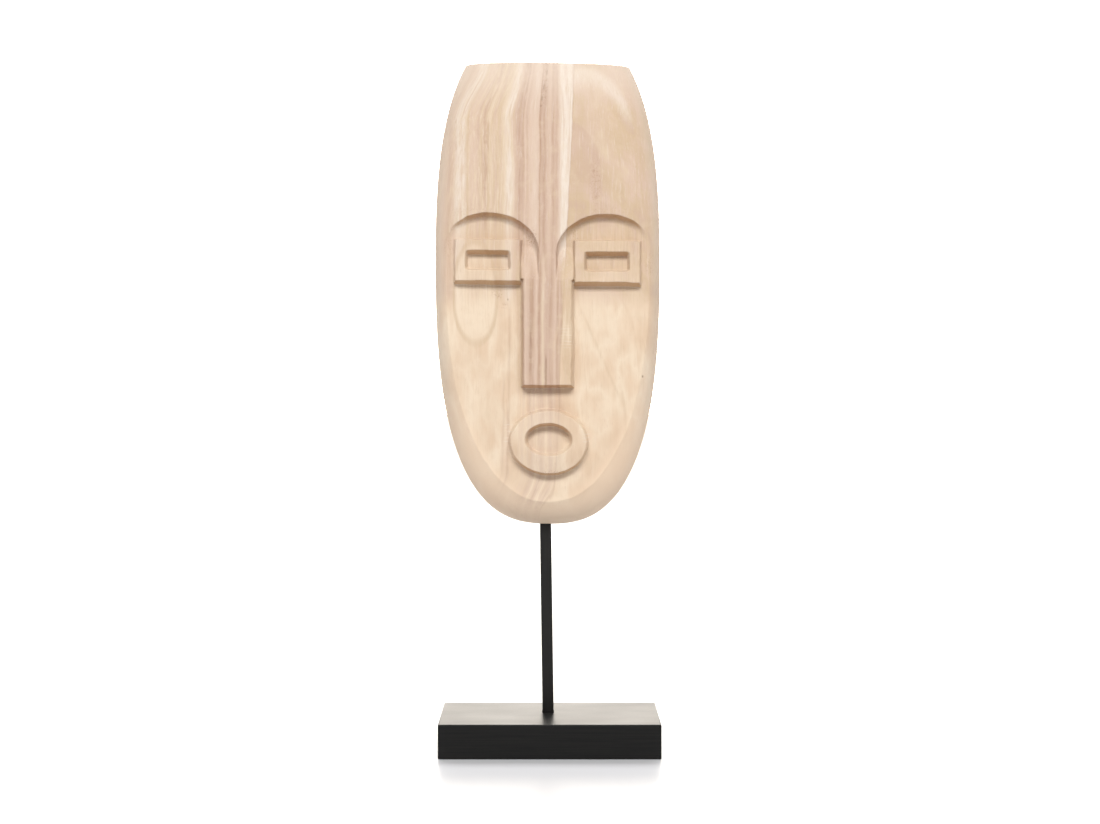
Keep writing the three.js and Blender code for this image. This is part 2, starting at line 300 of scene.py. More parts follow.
NOSE_TONES = (
    -24, HONEY, -22.5, BROWN_CLAY, -20.5, ROSE, -17, CLAY, -14.8, BROWN_CLAY, -12.8, CLAY, -11, ROSE,
    -9.6, CLAY, -8.5, BROWN_CLAY, -7.2, CLAY, -5.2, CREAM, -3.6, CLAY, -1, CLAY, 1.3, BROWN_CLAY, 3, CLAY,
    5, ROSE, 7.1, BROWN_CLAY, 8.6, CLAY, 10.6, BROWN_CLAY, 12, HONEY, 16, CREAM, 21, HONEY,
)
MOUTH_TONES = (
    -28, LOW_PEACH, -20, LOW_PEACH, -16.3, CLAY, -14, ROSE, -11.6, LOW_CREAM, -9.5, ROSE, -7.4, CLAY,
    -5.5, ROSE, -2.7, LOW_CREAM, -1, ROSE, 0.4, CLAY, 2, ROSE, 3.5, LOW_CREAM, 5, LOW_PEACH,
)

# Streaks and bands: x and z of the top, of the middle and of the end, half width, share, pigment
STREAKS = (
    (-7.6, 575, -8.7, 510, -8.5, 425, 1, 0.35, BROWN),
    (-52, 547, -52, 536, -52.5, 522, 0.9, 0.5, BROWN),
    (-55, 536, -55.5, 500, -56.5, 462, 1.6, 0.35, BROWN),
    (36, 530, 40, 500, 46, 458, 6.5, 0.75, CLAY),
    (74, 590, 80, 520, 83, 440, 5.5, 0.4, ROSE),
    (72, 560, 75, 500, 76, 440, 1, 0.35, HONEY),
    (-31, 404, -31, 372, -31.4, 338, 2.4, 0.6, LOW_CREAM),
    (-26.5, 400, -26.5, 360, -27, 318, 2.2, 0.4, ROSE),
    (-34, 300, -37, 250, -34, 205, 4, 0.35, ROSE),
    (29, 405, 33, 360, 30, 320, 5, 0.5, LOW_CREAM),
    (-70, 330, -66, 290, -56, 250, 9, 0.4, LOW_CREAM),
    (60, 300, 55, 270, 44, 240, 9, 0.35, LOW_PEACH),
    (-35, 378, -35.4, 320, -36.8, 228, 1.1, 0.4, BROWN),
    (-39.5, 330, -40.2, 280, -42, 228, 1, 0.25, BROWN),
    (-14.6, 412, -14.9, 370, -15, 328, 1.8, 0.65, BROWN),
    (-15.4, 374, -15.6, 350, -15.6, 332, 0.9, 0.5, DARK),
    (-2.2, 346, -2.6, 332, -3.1, 319, 0.8, 0.6, DARK),
    (-25, 215, -18.5, 208, -12, 199, 1.2, 0.4, BROWN),
    (-18, 215, -12, 208, -5, 199, 1, 0.4, BROWN),
    (27, 388, 43, 350, 61, 308, 1.2, 0.4, HONEY),
    (61, 318, 64, 300, 65, 262, 1.4, 0.4, HONEY),
    (79.5, 360, 80.5, 350, 79, 341, 2, 0.5, HONEY),
    (16, 430, 16, 370, 15.5, 318, 6, 0.8, HONEY),
    (6.5, 318, 6, 280, 5, 236, 4.5, 0.5, CLAY),
    (-8, 425, -8.2, 370, -8.4, 318, 1.2, 0.5, BROWN),
    (30, 590, 44, 560, 52, 520, 7, 0.4, HONEY),
    # Painted shade along the left socket's outer edge
    (-84, 457, -88.4, 449, -90, 436, 1.3, 0.6, CLAY),
    (55, 456, 55, 430, 55, 404, 30, 0.6, LOW_PEACH),
    (-56, 456, -56, 430, -56, 406, 30, 0.55, LOW_HONEY),
    (0, 294, 0, 262, 0, 232, 30, 0.4, LOW_CREAM),
    # Painted shade along the right socket's outer edge
    (82, 456, 87, 448, 88.5, 436, 1.3, 0.6, CLAY),
)

# Knots and pin marks: x, z, half width, half height, share, pigment
KNOTS = (
    (-54.2, 529.8, 1.8, 2.4, 0.4, BROWN),
    (37.3, 504.9, 1.8, 2, 0.55, BROWN),
    (39.9, 482.6, 2, 2.2, 0.35, BROWN),
    (80.3, 328, 1, 1.4, 0.7, DARK),
    (-35.8, 394.6, 0.9, 1.2, 0.6, DARK),
    (-4.6, 590, 1.1, 3.2, 0.8, DARK),
    (-6.4, 577.2, 1.2, 3.4, 0.85, DARK),
    (-7.6, 567.4, 1.1, 2.6, 0.85, DARK),
    (-8.3, 561, 0.9, 1.2, 0.5, DARK),
    (-11.1, 206.5, 1, 0.8, 0.6, DARK),
    (-15.5, 209.3, 0.9, 0.8, 0.5, DARK),
)

# Places with torn grain, where dark specks show: x, z, half width, half height, share
TORN = (
    (-16, 448, 6, 10, 0.8),
    (21, 448, 5, 12, 0.5),
    (88, 425, 6, 14, 0.4),
    (-88, 440, 6, 12, 0.3),
    (-44.3, 399.7, 6, 5, 0.6),
    (-39.5, 390, 4, 4, 0.4),
    (4, 245, 15, 3, 0.7),
    (-12, 316, 14, 3, 0.4),
    (-6, 580, 4, 24, 0.9),
    (39, 495, 6, 30, 0.4),
    (-82, 411, 3, 4, 0.6),
    (-62, 470, 30, 6, 0.25),
    (52, 470, 30, 6, 0.2),
)

# Curved figure on the right board and on the cheeks, as ovals drawn from the outline inwards: middle x, z,
# half width, half height, how deep the tone reaches in and how soft it is, lowest z, share, pigment
RIGHT_FIGURE = (
    (30, 518, 46, 76, 0.16, 0.05, 545, 0.6, IVORY),
    (28, 505, 38, 62, 0.6, 0.07, 490, 0.25, HONEY),
    (14, 500, 30, 48, 0.9, 0.03, 485, 0.55, CLAY),
)
CHEEK_FIGURE = (
    (-64, 400, 17.5, 43, 0.9, 0.06, 352, 0.7, LOW_CREAM),
    (-64, 400, 20, 47, 0.13, 0.04, 345, 0.6, HONEY),
    (40, 330, 38, 85, 0.05, 0.03, 330, 0.35, LOW_HONEY),
    (-70, 300, 26, 60, 0.5, 0.2, 250, 0.35, LOW_HONEY),
    (58, 392, 24, 30, 0.5, 0.3, 365, 0.35, LOW_CREAM),
)

# Short tool marks across the grain, their pale tone painted highlight: left, right, low and high edges,
# spacing, share
TICKS = (
    (-41, -31, 262, 290, 2.9, 0.55),
    (9, 21, 351, 374, 2.7, 0.45),
    (28, 36, 268, 282, 3.1, 0.4),
)


def place_mask(across, up, forward):
    """World coordinates, in metres, of points of the mask's own frame."""
    y = -forward
    z = up - MASK_SLANT * across
    c = math.cos(MASK_LEAN)
    s = math.sin(MASK_LEAN)
    points = np.stack([across + MASK_X, y * c + z * s + MASK_BACK_Y, z * c - y * s + MASK_CHIN_Z], axis=-1)
    return points * MM


def cheek(up):
    return CHEEK_DEPTH + CHEEK_RISE * up


def relief(up):
    return THICKNESS - cheek(up)


def outline_reach(across, up, power):
    half = np.where(up > WIDEST, UPPER_REACH, WIDEST)
    x = np.abs(across) / HALF_WIDTH
    y = np.abs(up - WIDEST) / half
    return (x ** power + y ** power) ** (1 / power)


def side_thickness(sine):
    return SIDE_THICKNESS - CHIN_ROUNDING * np.minimum(0, sine) ** 2


def crown(across, up):
    """The uncut block's front at each point."""
    rise = np.full_like(across, 0.5)
    for _ in range(CROWN_TURNS):
        power = OUTLINE_POWER - CROWN_OUTLINE_DROP * rise
        reach = outline_reach(across, up, power)
        width = np.clip((reach - FLAT_REACH) / (1 - FLAT_REACH), 0, 1)
        rise = 0.5 * rise + 0.5 * (1 - width ** 2) ** (1 / CROWN_POWER)
    half = np.where(up > WIDEST, UPPER_REACH, WIDEST)
    share = np.abs(up - WIDEST) / half / np.maximum(reach, TINY)
    sine = np.sign(up - WIDEST) * np.clip(share, 0, 1) ** (power / 2)
    side = side_thickness(sine)
    return side + (THICKNESS - side) * rise


def bisected(inside, high, count):
    """The largest value up to high at which each point is still inside a shape that shrinks with it."""
    low = np.zeros(count)
    top = np.full(count, float(high))
    for _ in range(HALVINGS):
        middle = (low + top) / 2
        held = inside(middle)
        low = np.where(held, middle, low)
        top = np.where(held, top, middle)
    return low


def socket_growth(across, up):
    """How far outside the sockets' floor each point lies, in the cove's own measure."""
    side = np.abs(across)

    def inside(shrink):
        x = (side - SOCKET_MIDDLE) / (SOCKET_HALF_WIDTH + COVE_REACH - shrink)
        y = (up - SOCKET_SPRING) / (SOCKET_ARCH + COVE_REACH - shrink)
        return x ** 2 + y ** 2 <= 1

    arch = COVE_REACH - bisected(inside, COVE_REACH, len(across))
    arch = np.where(inside(0), arch, COVE_REACH)
    below = np.where(side < SOCKET_MIDDLE, SOCKET_INNER - side, side - SOCKET_OUTER - (SOCKET_SPRING - up))
    below = np.where(up < NOSE_TIP, 0, below)
    return np.where(up > SOCKET_SPRING, arch, below)


def box_depth(across, up, half_width, down, rise, slopes):
    """How far below its face a sloping-sided box's wall lies at each point."""
    side, top, bottom = slopes
    walls = [(np.abs(across) - half_width) / side, (up - rise) / top, (-down - up) / bottom]
    return np.maximum.reduce([np.full_like(across, -FORM_PROUD)] + walls)


def oval_depth(across, up, half_width, half_height, slope):
    """How far outside an oval each point lies, divided by the slope of its wall."""
    turn = np.hypot(across / half_width, up / half_height)
    size = np.hypot(across, up)
    return size * (1 - 1 / np.maximum(turn, TINY)) / slope


def slot_corners(depth, grow=0):
    """How far the middles of the slot's corners lie from its middle: sideways, up and down."""
    sizes = (SLOT_HALF_WIDTH, SLOT_HALF_HEIGHT, SLOT_HALF_HEIGHT)
    return [size - slope * depth + grow - SLOT_CORNER for size, slope in zip(sizes, SLOT_SLOPES)]


def slot_floor(across, up):
    """How deep the slot's surface lies below the eye block's face."""

    def inside(depth):
        half, rise, down = slot_corners(depth)
        x = np.maximum(np.abs(across) - half, 0)
        y = np.maximum(np.maximum(up - rise, -down - up), 0)
        return np.hypot(x, y) <= SLOT_CORNER

    return bisected(inside, SLOT_DEPTH, len(across))


def carved_front(across, up):
    """The carved block's front at each point, with sharp edges."""
    floor = cheek(up)
    grow = np.maximum(socket_growth(across, up), 0)
    bend = np.clip(grow / COVE_WIDTH, 0, 1)
    cove = COVE_HEIGHT * (1 - np.sqrt(1 - bend ** 2))
    front = floor + np.where(grow >= COVE_WIDTH, THICKNESS, cove)
    eyes = np.zeros_like(front)
    for x in (-EYE_X, EYE_X):
        size = (EYE_HALF_WIDTH, EYE_HALF_HEIGHT, EYE_HALF_HEIGHT)
        depth = box_depth(across - x, up - EYE_LEVEL, *size, EYE_SLOPES)
        eyes = np.maximum(eyes, floor + relief(EYE_LEVEL) - depth)
    front = np.maximum(front, eyes)
    nose = box_depth(across, up - NOSE_TIP, NOSE_HALF_WIDTH, 0, NOSE_TOP - NOSE_TIP, NOSE_SLOPES)
    run_out = box_depth(across, up - NOSE_TOP, RUN_OUT_HALF_WIDTH, 0, 0, RUN_OUT_SLOPES)
    mouth = oval_depth(across - MOUTH_X, up - MOUTH_LEVEL, MOUTH_HALF_WIDTH, MOUTH_HALF_HEIGHT, MOUTH_SLOPE)
    mouth = np.maximum(mouth, -FORM_PROUD)
    for level, depth in ((NOSE_TIP, nose), (NOSE_TOP, run_out), (MOUTH_LEVEL, mouth)):
        front = np.maximum(front, floor + relief(level) - depth)
    front = np.minimum(front, np.maximum(crown(across, up), np.minimum(eyes, EYE_FACE)))
    for x in (-EYE_X, EYE_X):
        near = (np.abs(across - x) < SLOT_HALF_WIDTH) & (np.abs(up - EYE_LEVEL) < SLOT_HALF_HEIGHT)
        front[near] = np.minimum(front[near], THICKNESS - slot_floor(across[near] - x, up[near] - EYE_LEVEL))
    depth = -oval_depth(across - MOUTH_X, up - HOLE_LEVEL, HOLE_HALF_WIDTH, HOLE_HALF_HEIGHT, HOLE_SLOPE)
    depth = np.clip(depth, 0, HOLE_DEPTH)
    return np.where(depth > 0, np.minimum(front, THICKNESS - depth), front)


def soft_front(across, up):
    """The carved front, its edges and creases softened as by sanding."""
    total = carved_front(across, up)
    count = 1
    for radius, turns in SOFT_RINGS:
        for i in range(turns):
            angle = 2 * math.pi * (i + 0.5 * radius) / turns
            x = across + SOFTENING * radius * math.cos(angle)
            y = up + SOFTENING * radius * math.sin(angle)
            total = total + carved_front(x, y)
            count += 1
    return total / count


def along(points, step=LINE_STEP, closed=True):
    """The polyline's points again, evenly spaced."""
    points = np.asarray(points, float)
    if closed:
        points = np.vstack([points, points[:1]])
    lengths = np.hypot(*np.diff(points, axis=0).T)
    ends = np.concatenate([[0], np.cumsum(lengths)])
    count = max(int(round(ends[-1] / step)), 4)
    marks = np.linspace(0, ends[-1], count + 1)
    if closed:
        marks = marks[:-1]
    return np.stack([np.interp(marks, ends, points[:, i]) for i in (0, 1)], axis=-1)


def box_line(x, level, half_width, down, up):
    return [(x - half_width, level - down), (x + half_width, level - down),
            (x + half_width, level + up), (x - half_width, level + up)]


def oval_line(x, level, half_width, half_height, end=2 * math.pi):
    angles = np.linspace(0, end, OVAL_POINTS, endpoint=end < 2 * math.pi)
    return np.stack([x + half_width * np.cos(angles), level + half_height * np.sin(angles)], axis=-1)


def rounded_box(x, y, half_width, down, up, corner, steps):
    """A corner-rounded box's points, anticlockwise. Its sizes are those to the middles of its corners."""
    corners = ((half_width, up), (-half_width, up), (-half_width, -down), (half_width, -down))
    points = []
    for quarter, (across, rise) in enumerate(corners):
        for i in range(steps + 1):
            angle = math.pi / 2 * (quarter + i / steps)
            points.append((x + across + corner * math.cos(angle), y + rise + corner * math.sin(angle)))
    return points


def wall_rows(full, parts, side=1):
    """Lines along a wall's edge, between its equal parts and along its foot: how deep and how far beside."""
    rows = [(0, side * grow) for grow in EDGE_OFFSETS]
    rows += [(full * i / parts, 0) for i in range(1, parts)]
    return rows + [(full, side * grow) for grow in FOOT_OFFSETS]


def eye_lines(x):
    """Lines that follow an eye block's edge, wall and foot."""
    side, top, bottom = EYE_SLOPES
    for depth, grow in wall_rows(relief(EYE_LEVEL), 2):
        half = EYE_HALF_WIDTH + side * depth + grow
        down = EYE_HALF_HEIGHT + bottom * depth + grow
        rise = EYE_HALF_HEIGHT + top * depth + grow
        yield along(box_line(x, EYE_LEVEL, half, down, rise))


def slot_lines(x):
    """Lines that follow a slot's edge, wall and floor."""
    for depth, grow in SLOT_ROWS:
        half, rise, down = slot_corners(depth, grow)
        line = rounded_box(x, EYE_LEVEL, half, down, rise, SLOT_CORNER, SLOT_CORNER_STEPS)
        yield along(line)


def nose_lines():
    """Lines that follow the nose bar's sides and tip, and the run-out's edges."""
    side, _, bottom = NOSE_SLOPES
    for depth, grow in wall_rows(relief(NOSE_TIP), 3):
        half = NOSE_HALF_WIDTH + side * depth + grow
        tip = NOSE_TIP - bottom * depth - grow
        line = [(-half, NOSE_TOP), (-half, tip), (half, tip), (half, NOSE_TOP)]
        yield along(line, closed=False)
    length = RUN_OUT_SLOPES[1] * relief(NOSE_TOP)
    for side in (-1, 1):
        for grow in RUN_OUT_OFFSETS:
            x = side * (RUN_OUT_HALF_WIDTH + grow)
            yield along([(x, NOSE_TOP + RUN_OUT_OFFSETS[0]), (x, NOSE_TOP + length)], closed=False)
        for grow in RUN_OUT_OFFSETS:
            line = [(side * SOCKET_INNER / 2, NOSE_TOP + grow), (side * RUN_OUT_HALF_WIDTH, NOSE_TOP + grow)]
            yield along(line, closed=False)


def mouth_lines():
    """Lines that follow the mouth ring and its hole."""
    for depth, grow in wall_rows(relief(MOUTH_LEVEL), 3):
        spread = MOUTH_SLOPE * depth + grow
        half_width = MOUTH_HALF_WIDTH + spread
        yield along(oval_line(MOUTH_X, MOUTH_LEVEL, half_width, MOUTH_HALF_HEIGHT + spread))
    for depth, grow in wall_rows(HOLE_DEPTH, 3, -1):
        spread = grow - HOLE_SLOPE * depth
        half_width = HOLE_HALF_WIDTH + spread
        yield along(oval_line(MOUTH_X, HOLE_LEVEL, half_width, HOLE_HALF_HEIGHT + spread))


def socket_lines():
    """Lines that follow the arches' floor, cove and edge, and the bridge's sides."""
    for grow in COVE_OFFSETS:
        for side in (-1, 1):
            start = [(side * (SOCKET_INNER - grow), NOSE_TOP - ARCH_OVERLAP)]
            half = -side * (SOCKET_HALF_WIDTH + grow)
            arch = oval_line(side * SOCKET_MIDDLE, SOCKET_SPRING, half, SOCKET_ARCH + grow, math.pi)
            yield along(np.vstack([start, arch]), closed=False)


def crease_point(angle, rise):
    """A point of the crown's surface, by its angle round the outline and its rise."""
    roll = np.sqrt(1 - rise ** CROWN_POWER)
    reach = FLAT_REACH + (1 - FLAT_REACH) * roll
    power = OUTLINE_POWER - CROWN_OUTLINE_DROP * rise
    cosine = np.cos(angle)
    sine = np.sin(angle)
    across = HALF_WIDTH * reach * np.sign(cosine) * np.abs(cosine) ** (2 / power)
    half = np.where(sine > 0, UPPER_REACH, WIDEST)
    up = WIDEST + half * reach * np.sign(sine) * np.abs(sine) ** (2 / power)
    return across, up


def crease_lines():
    """Lines along the crease where the flat cheeks meet the rounded rim."""
    angle = np.linspace(-math.pi - CREASE_OVERLAP, CREASE_OVERLAP, CREASE_POINTS)
    side = side_thickness(np.sin(angle))
    rise = np.full_like(angle, CREASE_RISE)
    for _ in range(CREASE_TURNS):
        _, up = crease_point(angle, rise)
        rise = (cheek(up) - side) / (THICKNESS - side)
    across, up = crease_point(angle, rise)
    line = np.stack([across, up], axis=-1)
    line = line[up < SOCKET_SPRING + CREASE_PAST]
    tangent = np.gradient(line, axis=0)
    normal = np.stack([tangent[:, 1], -tangent[:, 0]], axis=-1)
    normal /= np.linalg.norm(normal, axis=1, keepdims=True)
    for offset in EDGE_OFFSETS + FOOT_OFFSETS[1:]:
        yield along(line + offset * normal, CREASE_STEP, closed=False)


def outline_angles():
    """Angles round the outline that part it into even lengths."""
    angle = np.linspace(0, 2 * math.pi, OUTLINE_POINTS)
    across, up = crease_point(angle, np.zeros_like(angle))
    lengths = np.hypot(np.diff(across), np.diff(up))
    ends = np.concatenate([[0], np.cumsum(lengths)])
    marks = np.linspace(0, ends[-1], RIM_POINTS + 1)[:-1]
    return np.interp(marks, ends, angle)


def rim_rings(angles):
    """Rings from the split line round the rim and the side to the flat back, as across, up and forward."""
    side = side_thickness(np.sin(angles))
    rings = []
    for turn in np.linspace(math.asin(SPLIT_RISE), 0, RIM_ROWS + 1):
        rise = np.full_like(angles, math.sin(turn))
        across, up = crease_point(angles, rise)
        rings.append((across, up, side + (THICKNESS - side) * rise))
    across, up = crease_point(angles, np.zeros_like(angles))
    for share in np.linspace(0, 1, SIDE_ROWS + 1)[1:]:
        rings.append((across, up, side + (BACK_ROUND - side) * share))
    inward = np.stack([across, up - WIDEST], axis=-1)
    inward = -inward / np.linalg.norm(inward, axis=1, keepdims=True)
    for turn in np.linspace(0, math.pi / 2, BACK_ROWS + 1)[1:]:
        shift = BACK_ROUND * (1 - math.cos(turn))
        forward = np.full_like(angles, BACK_ROUND * (1 - math.sin(turn)))
        rings.append((across + inward[:, 0] * shift, up + inward[:, 1] * shift, forward))
    return rings


def hex_grid(step, low, high):
    rows = np.arange(low[1], high[1], step * math.sqrt(3) / 2)
    points = []
    for i, y in enumerate(rows):
        x = np.arange(low[0] + (i % 2) * step / 2, high[0], step)
        points.append(np.stack([x, np.full_like(x, y)], axis=-1))
    return np.vstack(points)


def thinned(kept, added, distance):
    """The added points that lie at least this far from every kept one."""
    tree = KDTree(len(kept))
    for i, (x, y) in enumerate(kept):
        tree.insert((x, y, 0), i)
    tree.balance()
    return np.array([p for p in added if tree.find((p[0], p[1], 0))[2] > distance])


def spaced(points, distance):
    """The points, in their order, without those that lie too close to an earlier one."""
    seen = {}
    out = []
    for x, y in points:
        column = math.floor(x / distance)
        row = math.floor(y / distance)
        cells = [(column + i, row + j) for i in (-1, 0, 1) for j in (-1, 0, 1)]
        near = [point for cell in cells for point in seen.get(cell, ())]
        if all((px - x) ** 2 + (py - y) ** 2 >= distance ** 2 for px, py in near):
            seen.setdefault((column, row), []).append((x, y))
            out.append((x, y))
    return np.array(out)


def triangulated(boundary, inner):
    """Triangles that fill the closed boundary through the inner points, as indices into boundary + inner."""
    points = [Vector((x, y)) for x, y in np.vstack([boundary, inner])]
    count = len(boundary)
    edges = [(i, (i + 1) % count) for i in range(count)]
    _, _, faces, origins, _, _ = delaunay_2d_cdt(points, edges, [], 1, MERGE_DISTANCE)
    origins = [found[0] if found else -1 for found in origins]
    faces = [tuple(origins[i] for i in face) for face in faces]
    return [face for face in faces if min(face) >= 0]


def face_points(boundary):
    """Points inside the split line: along every carved edge, and an even grid between."""
    lines = []
    for x in (-EYE_X, EYE_X):
        lines += list(eye_lines(x)) + list(slot_lines(x))
    lines += list(nose_lines()) + list(mouth_lines()) + list(socket_lines()) + list(crease_lines())
    edges = spaced(np.vstack(lines), LINE_GAP)
    power = OUTLINE_POWER - CROWN_OUTLINE_DROP * SPLIT_RISE
    split = outline_reach(boundary[:1, 0], boundary[:1, 1], power)[0]

    def inside(points):
        return outline_reach(points[:, 0], points[:, 1], power) < split * SPLIT_MARGIN

    edges = edges[inside(edges)]
    corner = (HALF_WIDTH, MASK_HEIGHT + TOP_SLOPE * THICKNESS + TOP_MARGIN)
    grid = hex_grid(FACE_STEP, (-HALF_WIDTH, 0), corner)
    grid = thinned(edges, grid[inside(grid)], FACE_STEP / 2)
    return np.vstack([edges, grid])


def cut_top(bm):
    """Saws the block off flat at the top and rounds the sawn edge over. Works in the mask's own frame."""
    normal = Vector((0, -TOP_SLOPE, 1)).normalized()
    front = Vector((0, -THICKNESS, MASK_HEIGHT))
    for share in TOP_ROWS:
        geometry = bm.verts[:] + bm.edges[:] + bm.faces[:]
        level = front - normal * TOP_ROUND * (1 - share)
        bmesh.ops.bisect_plane(bm, geom=geometry, plane_co=level, plane_no=normal, clear_outer=share == 1)
    rim = [edge for edge in bm.edges if edge.is_boundary]
    bm.normal_update()
    moves = []
    for vert in bm.verts:
        above = TOP_ROUND + (vert.co - front).dot(normal)
        if above > 0:
            above = min(above, TOP_ROUND)
            inward = -(vert.normal - normal * vert.normal.dot(normal)).normalized()
            moves.append((vert, inward * (TOP_ROUND - math.sqrt(TOP_ROUND ** 2 - above ** 2))))
    for vert, move in moves:
        vert.co += move
    cap = bmesh.ops.contextual_create(bm, geom=rim)
    bmesh.ops.triangulate(bm, faces=cap["faces"])


def mask_points():
    """The points and faces of the whole block, before its top is sawn off."""
    rings = rim_rings(outline_angles())
    boundary = np.stack(rings[0][:2], axis=-1)
    inner = face_points(boundary)
    count = RIM_POINTS
    last = (len(rings) - 1) * count
    start = last + count
    corner = (HALF_WIDTH, MASK_HEIGHT + TOP_SLOPE * THICKNESS + BACK_STEP)
    grid = hex_grid(BACK_STEP, (-HALF_WIDTH, 0), corner)
    grid = grid[outline_reach(grid[:, 0], grid[:, 1], OUTLINE_POWER) < BACK_GRID_REACH]
    faces = []
    for face in triangulated(boundary, inner):
        faces.append(tuple(i if i < count else i - count + start for i in face))
    for low in range(0, last, count):
        for i in range(count):
            j = (i + 1) % count
            faces.append((low + i, low + count + i, low + count + j, low + j))
    start += len(inner)
    for face in triangulated(np.stack(rings[-1][:2], axis=-1), grid):
        faces.append(tuple(i + last if i < count else i - count + start for i in reversed(face)))
    inner_across, inner_up, front = hand_cut(*inner.T, soft_front(*inner.T))
    across = np.concatenate([ring[0] for ring in rings] + [inner_across, grid[:, 0]])
    up = np.concatenate([ring[1] for ring in rings] + [inner_up, grid[:, 1]])
    forward = np.concatenate([ring[2] for ring in rings] + [front, np.zeros(len(grid))])
    return np.stack([across, -forward, up], axis=-1), faces


def hand_cut(across, up, forward):
    """The points of the front again, unsteady as from hand tools, but fixed at the outline."""
    noise.seed_set(HAND_SEED)
    reach = outline_reach(across, up, OUTLINE_POWER)
    share = np.clip((HAND_REACH - reach) / HAND_FADE, 0, 1)
    moves = np.zeros((len(across), 3))
    for length, sideways, inward in HAND_WAVES:
        for i, (x, z) in enumerate(zip(across, up)):
            push = noise.noise_vector(Vector((x, z, length)) / length)
            moves[i] += (push[0] * sideways, push[1] * sideways, push[2] * inward)
    moves *= share[:, None]
    return across + moves[:, 0], up + moves[:, 1], forward + moves[:, 2]


def linked(name, data):
    """A new object of the mesh, light or camera, in the scene."""
    piece = bpy.data.objects.new(name, data)
    bpy.context.scene.collection.objects.link(piece)
    return piece


def make_mask():
    """The carved block as one closed mesh."""
    points, faces = mask_points()
    mesh = bpy.data.meshes.new("carved_mask")
    mesh.from_pydata(points.tolist(), [], faces)
    bm = bmesh.new()
    bm.from_mesh(mesh)
    cut_top(bm)
    bm.to_mesh(mesh)
    bm.free()
    points = np.zeros(len(mesh.vertices) * 3)
    mesh.vertices.foreach_get("co", points)
    points = points.reshape(-1, 3)
    placed = place_mask(points[:, 0], points[:, 2], -points[:, 1])
    mesh.vertices.foreach_set("co", placed.ravel())
    mesh.shade_smooth()
    mesh.update()
    mask = linked("carved_mask", mesh)
    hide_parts("mask")
    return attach(mask, "root")


class Graph:
    """Short calls that add nodes to a new material or world and link them."""

    def __init__(self, owner):
        owner.use_nodes = True
        self.owner = owner
        self.tree = owner.node_tree
        self.shader = self.tree.nodes.get("Principled BSDF")

    def node(self, kind, values=None, **settings):
        """A node of this kind. Its values are plain ones or other nodes' outputs."""
        node = self.tree.nodes.new("ShaderNode" + kind)
        for key, value in settings.items():
            setattr(node, key, value)
        for key, value in (values or {}).items():
            self.feed(node.inputs[key], value)
        return node

    def feed(self, socket, value):
        if isinstance(value, bpy.types.NodeSocket):
            self.tree.links.new(value, socket)
        elif socket.type == "RGBA":
            socket.default_value = (*value, 1)
        else:
            socket.default_value = value

    def math(self, operation, *values):
        return self.node("Math", dict(enumerate(values)), operation=operation).outputs[0]

    def product(self, value, *others):
        for other in others:
            value = self.math("MULTIPLY", value, other)
        return value

    def span(self, value, start, end):
        """A smooth rise from 0 where the value is start to 1 where it is end."""
        values = {"Value": value, "From Min": start, "From Max": end}
        return self.node("MapRange", values, interpolation_type="SMOOTHSTEP").outputs[0]

    def spread(self, value, low, high):
        """The value from 0 to 1 as a value from low to high."""
        return self.math("MULTIPLY_ADD", value, high - low, low)

    def vector(self, x, y, z):
        return self.node("CombineXYZ", {"X": x, "Y": y, "Z": z}).outputs[0]

    def noise(self, vector, detail=2.0, roughness=0.5, scale=1.0):
        values = {"Vector": vector, "Scale": scale, "Detail": detail, "Roughness": roughness}
        return self.node("TexNoise", values).outputs[0]

    def colour(self, share, first, second, blend="MIX"):
        """The first colour, turned to the second one or blended with it, by the share."""
        node = self.node("Mix", data_type="RGBA", blend_type=blend)
        sockets = {socket.identifier: socket for socket in node.inputs}
        for key, value in (("Factor_Float", share), ("A_Color", first), ("B_Color", second)):
            self.feed(sockets[key], value)
        return next(socket for socket in node.outputs if socket.identifier == "Result_Color")

    def tint(self, tone, pigment, *shares):
        """The tone, turned to the pigment by the product of the shares."""
        return self.colour(self.product(*shares), tone, pigment)

    def place(self):
        """The surface's x, y and z in millimetres, in the frame of the whole object."""
        node = self.node("SeparateXYZ", {0: self.node("TexCoord").outputs["Object"]})
        return [self.math("MULTIPLY", output, 1 / MM) for output in node.outputs]

    def bump(self, height, depth):
        """Raises the surface by the height, a value from 0 to 1 that stands for the depth in metres."""
        values = {"Height": height, "Distance": depth, "Strength": 1}
        self.feed(self.shader.inputs["Normal"], self.node("Bump", values).outputs[0])

    def finish(self, **values):
        """Sets or links the shader's values."""
        for key, value in values.items():
            self.feed(self.shader.inputs[key.replace("_", " ")], value)
        return self.owner


def new_graph(name):
    """The node graph of a new material."""
    return Graph(bpy.data.materials.new(name))


def make_floor():
    mesh = bpy.data.meshes.new("floor")
    corners = [(x * FLOOR_REACH, y * FLOOR_REACH, 0) for x, y in ((-1, -1), (1, -1), (1, 1), (-1, 1))]
    mesh.from_pydata(corners, [], [(0, 1, 2, 3)])
    floor = linked("floor", mesh)
    g = new_graph("floor_paper")
    g.finish(Base_Color=FLOOR_COLOUR, Roughness=FLOOR_ROUGHNESS, Specular_IOR_Level=FLOOR_SHINE)
    mesh.materials.append(g.owner)


